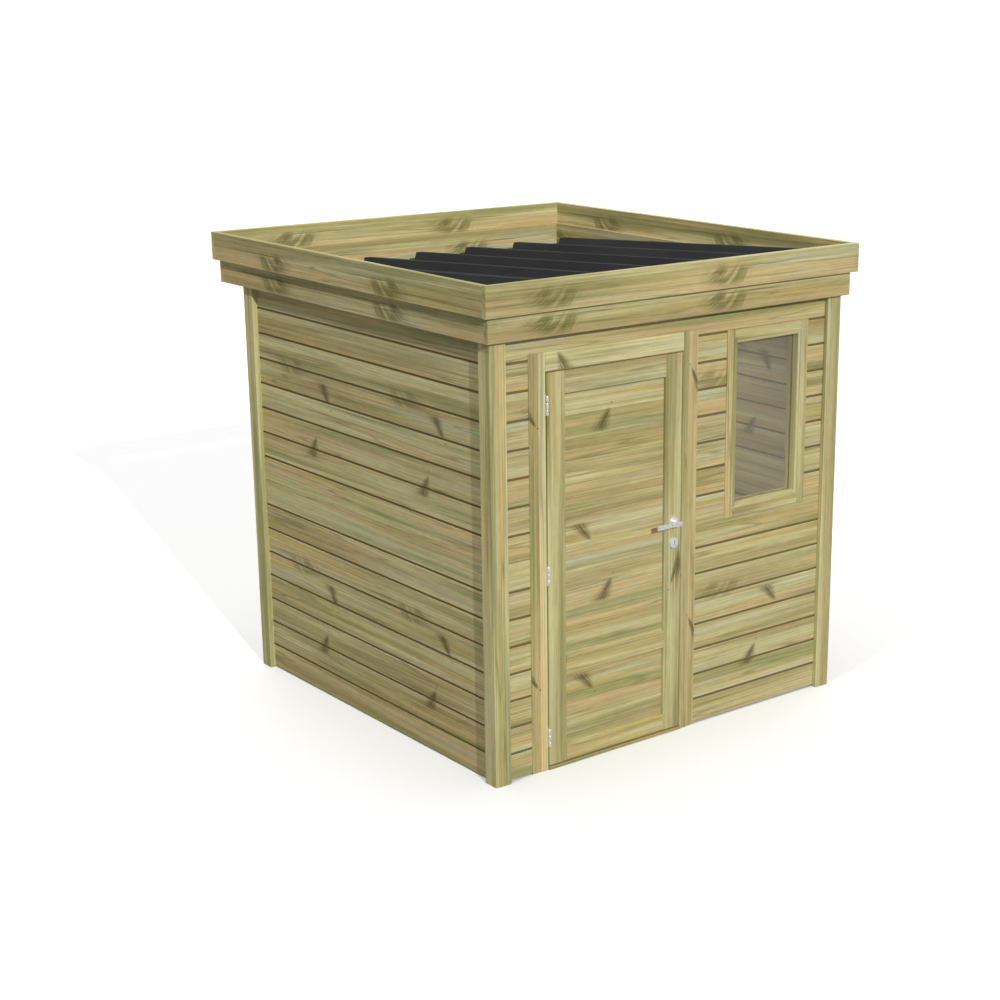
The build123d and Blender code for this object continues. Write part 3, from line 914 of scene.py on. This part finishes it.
class SHED_OT_door(Operator):
    """Fill the door's two panels with planks and line the gap round the leaf"""

    bl_idname = "shed.door"
    bl_label = "Door panels and lippings"

    def execute(self, context):
        sizes = context.scene.shed_door
        timber = pine("Door panel pine", "x", 4.0)
        for node, heights in PANEL_JOINTS:
            piece = planks(node, heights)
            dress(piece, timber)
            settle(piece, "door", [node])
        jamb_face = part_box("door_jamb_right")[0].y
        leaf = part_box("door_stile_lock")[1]
        set_back, far_side = 0.0025, 0.030
        front, back = jamb_face + set_back, jamb_face + far_side
        side, outer = leaf.x + sizes.lipping_gap, leaf.x + sizes.lipping_reach
        top, upper = leaf.z + sizes.lipping_gap, leaf.z + sizes.lipping_reach
        foot, hinge_end = 0.020, sizes.opening_edge + 0.0005
        strips = []
        for name, grain, low, high in (
            ("side", "z", (side, front, foot), (outer, back, top)),
            ("top", "x", (hinge_end, front, top), (outer, back, upper)),
        ):
            strip = block("lipping_" + name, low, high)
            ease_edges(strip, 0.0008, along("xyz".index(grain)), 1)
            # Painted shade: the strips are timber, darkened by tone 1.5 so that the gap round the leaf reads
            # as a shaded line
            dress(strip, pine("Door lipping pine " + name, grain, 5.0, (), tone=1.5))
            strips.append(strip)
        settle(join("door_lipping", strips), "shed", [])
        return {"FINISHED"}


class SHED_OT_roof(Operator):
    """Coat the ribbed roof sheet"""

    bl_idname = "shed.roof"
    bl_label = "Roof sheet"

    def execute(self, context):
        dress(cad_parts["roof_sheet"], coated_sheet("Coated roof sheet"))
        return {"FINISHED"}


def knuckle(name, place, bottom, top):
    """Round knuckle of a hinge with rounded ends."""
    sizes = bpy.context.scene.shed_door
    bpy.ops.object.select_all(action="DESELECT")
    bpy.ops.mesh.primitive_cylinder_add(
        vertices=32, radius=sizes.knuckle_radius, depth=top - bottom, location=(*place, (bottom + top) / 2)
    )
    piece = bpy.context.object
    piece.name = piece.data.name = name
    bpy.ops.object.transform_apply(location=True, rotation=True, scale=True)
    ease_edges(
        piece,
        sizes.knuckle_rounding,
        lambda edge: abs(edge.verts[0].co.z - edge.verts[1].co.z) < HAIR,
        4,
    )
    activate(piece)
    bpy.ops.object.shade_smooth_by_angle(angle=math.radians(50))
    return piece


class SHED_OT_fittings(Operator):
    """Make the hinges and finish the lever and the lock"""

    bl_idname = "shed.fittings"
    bl_label = "Fittings"

    def execute(self, context):
        sizes = context.scene.shed_door
        satin = steel("Satin steel")
        for node in ("door_rosettes", "lock_cylinder", "lever_outer", "lever_inner", "lever_spindle"):
            dress(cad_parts[node], satin)
        low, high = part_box("lock_cylinder")
        middle = (low + high) / 2
        half_width, proud, sunk, below, above = 0.0012, 0.0003, 0.002, 0.002, 0.012
        # Painted shade: a thin block of the dark roof coating, barely proud of the cylinder face, stands in
        # for the shade inside the key slot
        keyway = block(
            "keyway",
            (middle.x - half_width, low.y - proud, middle.z - below),
            (middle.x + half_width, low.y + sunk, middle.z + above),
        )
        dress(keyway, coated_sheet("Keyway"))
        settle(keyway, "door", [])
        low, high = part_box("hinge_frame_halves")
        place = ((low.x + high.x) / 2, low.y + sizes.knuckle_radius)
        length, opening_edge = sizes.hinge_length, sizes.opening_edge
        third = length / 3
        lowest, highest = low.z + length / 2, high.z - length / 2
        middles = (lowest, (lowest + highest) / 2, highest)
        slack, overlap = 0.0005, 0.0005
        plate_front, plate_back = low.y + 2 * sizes.knuckle_radius - overlap, high.y
        leaf_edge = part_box("door_stile_hinge")[0].x
        for body, node, edges, spans in (
            (
                "shed",
                "hinge_frame_halves",
                (opening_edge, opening_edge + sizes.plate),
                ((-1.5, -0.5), (0.5, 1.5)),
            ),
            ("door", "hinge_door_halves", (leaf_edge - sizes.plate, leaf_edge), ((-0.5, 0.5),)),
        ):
            parts = []
            for middle in middles:
                for start, end in spans:
                    gap = slack if body == "shed" else 0.0
                    bottom, top = middle + start * third + gap, middle + end * third - gap
                    parts.append(knuckle(node + "_knuckle", place, bottom, top))
                    web_low = (edges[0], place[1], bottom + sizes.knuckle_rounding)
                    web_high = (edges[1], plate_front, top - sizes.knuckle_rounding)
                    parts.append(block(node + "_web", web_low, web_high))
                plate = block(
                    node + "_plate",
                    (edges[0], plate_front, middle - length / 2),
                    (edges[1], plate_back, middle + length / 2),
                )
                ease_edges(plate, 0.0004, along(2), 1)
                parts.append(plate)
            piece = join(node + "_steel", parts)
            dress(piece, satin)
            settle(piece, body, [node])
        return {"FINISHED"}


class SHED_OT_window(Operator):
    """Build the window frame out of bars and beads and finish the pane"""

    bl_idname = "shed.window"
    bl_label = "Window"

    def execute(self, context):
        sizes = context.scene.shed_window
        upright = pine("Window stile pine", "z", 7.3, (), tone=-0.1)
        level = pine("Window rail pine", "x", 8.1, (), tone=0.0)
        inner = pine("Window rebate pine", "z", 9.4, (), tone=-4.0, warmth=-1.0)
        low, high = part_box("window_frame")
        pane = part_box("window_glass")[0].y
        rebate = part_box("window_beads")[0].x - low.x
        bar, bead = sizes.bar_face, sizes.bead_face
        parts = []

        def bar_piece(name, edges, heights, material, front, back):
            part = block(name, (edges[0], front, heights[0]), (edges[1], back, heights[1]))
            ease_edges(part, sizes.ease, lambda edge: True)
            dress(part, material)
            parts.append(part)

        def ring(name, inset, face, front, back, sides=upright, ends=level):
            """Two stiles the full height and two rails between them, a face wide from the inset inwards."""
            left, right = low.x + inset, high.x - inset
            foot, head = low.z + inset, high.z - inset
            for edges in ((left, left + face), (right - face, right)):
                bar_piece(name + "_stile", edges, (foot, head), sides, front, back)
            for heights in ((foot, foot + face), (head - face, head)):
                bar_piece(name + "_rail", (left + face, right - face), heights, ends, front, back)

        ring("window_bar", 0.0, bar, low.y, pane)
        ring("window_bead", bar, bead, low.y + sizes.bead_step, pane)
        ring("window_rebate", 0.0, rebate, pane, high.y, inner, inner)
        piece = join("window_frame_bars", parts)
        settle(piece, "shed", ["window_frame"])
        dress(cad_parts["window_glass"], pane_glass("Pane"))
        return {"FINISHED"}


class SHED_OT_stage(Operator):
    """Set up floor, lights and camera"""

    bl_idname = "shed.stage"
    bl_label = "Stage"

    def execute(self, context):
        settings = context.scene.shed_stage
        bpy.ops.object.select_all(action="DESELECT")
        bpy.ops.mesh.primitive_plane_add(size=settings.floor_size)
        floor = context.object
        floor.name = "floor"
        material = bpy.data.materials.new("Pale floor")
        material.use_nodes = True
        tree = material.node_tree
        shader = tree.nodes["Principled BSDF"]
        seen = add(tree, "ShaderNodeLightPath").outputs["Is Camera Ray"]
        colour = settings.floor_colour
        returned = tuple(value * settings.floor_return for value in colour)
        feed(tree, blend(tree, seen, (*returned, 1), (*colour, 1)), shader.inputs["Base Color"])
        shader.inputs["Roughness"].default_value = 0.9
        dress(floor, material)

        for name, towards, strength, angle in (
            ("Key light", (-0.2425, -0.97, 0.429), settings.key_strength, 1.0),
            ("Side light", (-0.5, -0.1, 0.87), settings.side_strength, 6),
            ("Rear light", (0.45, 0.55, 0.9), settings.rear_strength, 70),
            ("Top light", (0, 0, 1), settings.top_strength, 50),
        ):
            bpy.ops.object.light_add(type="SUN")
            lamp = context.object
            lamp.name = name
            lamp.rotation_euler = Vector(towards).to_track_quat("Z", "Y").to_euler()
            lamp.data.energy = strength
            lamp.data.angle = math.radians(angle)
        bpy.ops.object.light_add(type="AREA", location=(0, -0.1, 2.0))
        inside = context.object
        inside.name = "Light inside"
        inside.data.size = 1.2
        inside.data.energy = settings.inside_power

        world = context.scene.world or bpy.data.worlds.new("Surroundings")
        context.scene.world = world
        world.use_nodes = True
        tree, glow = world.node_tree, settings.sky_strength
        sky = tree.nodes["Background"]
        sky.inputs["Color"].default_value = (1, 1, 1, 1)
        seen = add(tree, "ShaderNodeLightPath").outputs["Is Camera Ray"]
        strength = maths(tree, "MULTIPLY_ADD", seen, settings.sky_seen - glow, glow)
        feed(tree, strength, sky.inputs["Strength"])
        context.scene.view_settings.view_transform = "Standard"

        bpy.ops.object.camera_add(
            location=CAMERA_PLACE,
            rotation=(math.radians(90 - CAMERA_DOWN), 0, math.radians(-CAMERA_ASIDE)),
        )
        camera = context.object
        camera.data.lens = CAMERA_LENS
        camera.data.shift_x = -0.1
        camera.data.shift_y = 0.0425
        camera.data.clip_end = 200
        context.scene.camera = camera
        return {"FINISHED"}


class SHED_PT_panel(Panel):
    """Lists the shed's pieces"""

    bl_label = "Garden shed"
    bl_idname = "SHED_PT_panel"
    bl_space_type = "VIEW_3D"
    bl_region_type = "UI"
    bl_category = "Shed"

    def draw(self, context):
        for operator in operators:
            self.layout.operator(operator.bl_idname)


groups = {
    "shed_cladding": CladdingSizes,
    "shed_door": DoorSizes,
    "shed_window": WindowSizes,
    "shed_colours": Colours,
    "shed_stage": StageSettings,
}
operators = (
    SHED_OT_cladding,
    SHED_OT_frame_timber,
    SHED_OT_door,
    SHED_OT_window,
    SHED_OT_roof,
    SHED_OT_fittings,
    SHED_OT_stage,
)


def register():
    for item in (*groups.values(), *operators, SHED_PT_panel):
        bpy.utils.register_class(item)
    for name, group in groups.items():
        setattr(bpy.types.Scene, name, PointerProperty(type=group))


def unregister():
    for name in groups:
        delattr(bpy.types.Scene, name)
    for item in reversed((*groups.values(), *operators, SHED_PT_panel)):
        bpy.utils.unregister_class(item)


def main():
    register()
    bpy.ops.shed.cladding()
    bpy.ops.shed.frame_timber()
    bpy.ops.shed.door()
    bpy.ops.shed.window()
    bpy.ops.shed.roof()
    bpy.ops.shed.fittings()
    bpy.ops.shed.stage()


if __name__ == "__main__":
    main()
